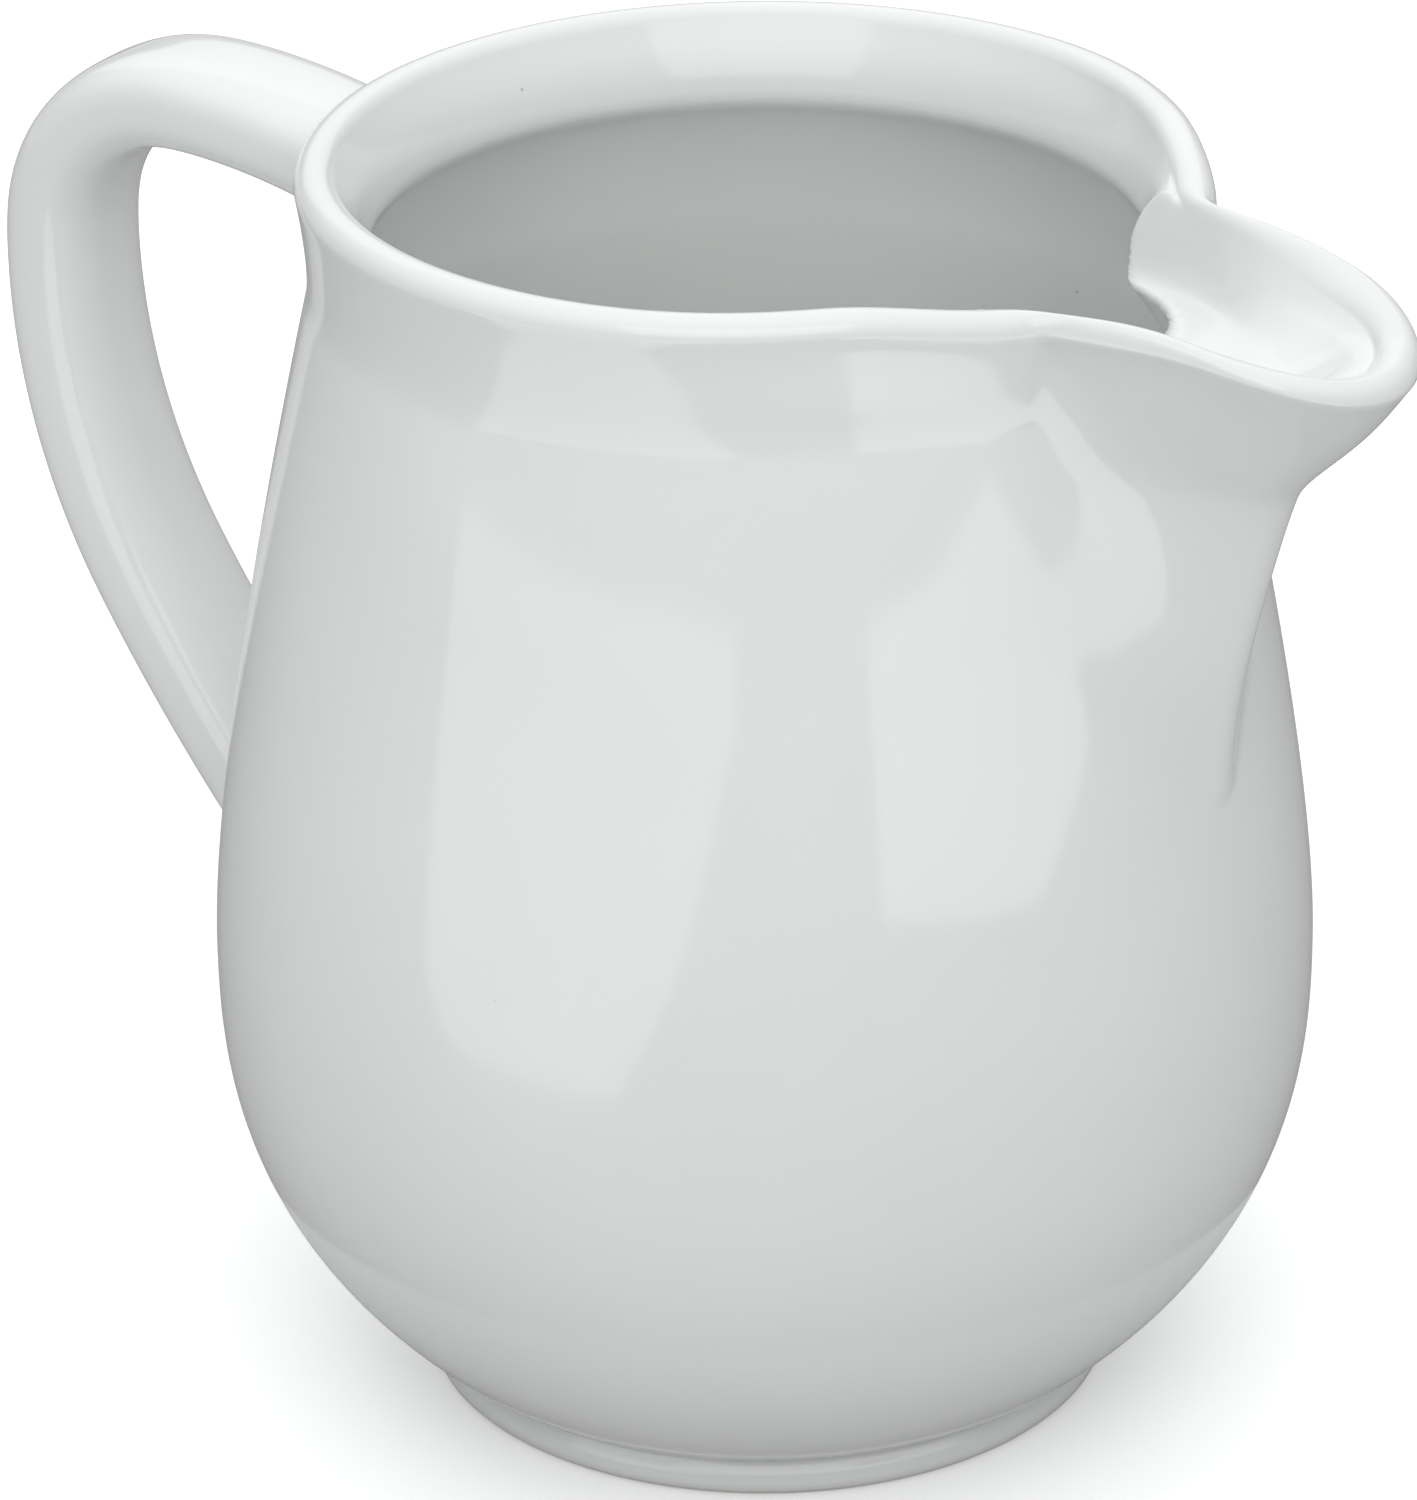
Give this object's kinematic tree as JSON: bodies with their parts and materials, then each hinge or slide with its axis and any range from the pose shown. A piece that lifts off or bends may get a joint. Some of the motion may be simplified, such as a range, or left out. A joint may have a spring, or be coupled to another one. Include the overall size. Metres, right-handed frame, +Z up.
{
  "type": "porcelain cream pitcher",
  "caption": "Egg-shaped glazed pitcher with a flared round mouth, a pinched beak spout, a strap handle opposite it and a low foot ring, for pouring milk or cream.",
  "frame": {"origin": "centre of the foot ring, on the face that the pitcher stands on", "axes": "+Z up along the vessel's axis, +X towards the spout's tip, handle along -X"},
  "size_m": [0.1232, 0.086, 0.101],
  "materials": {
    "glaze": "glossy clear glaze over white porcelain",
    "foot": "glazed sides, bare matt bearing face"
  },
  "bodies": {
    "root": {"body": "glaze", "foot_ring": "foot", "spout": "glaze", "handle": "glaze", "upper_handle_joint": "glaze", "lower_handle_joint": "glaze"}
  },
  "joints": []
}
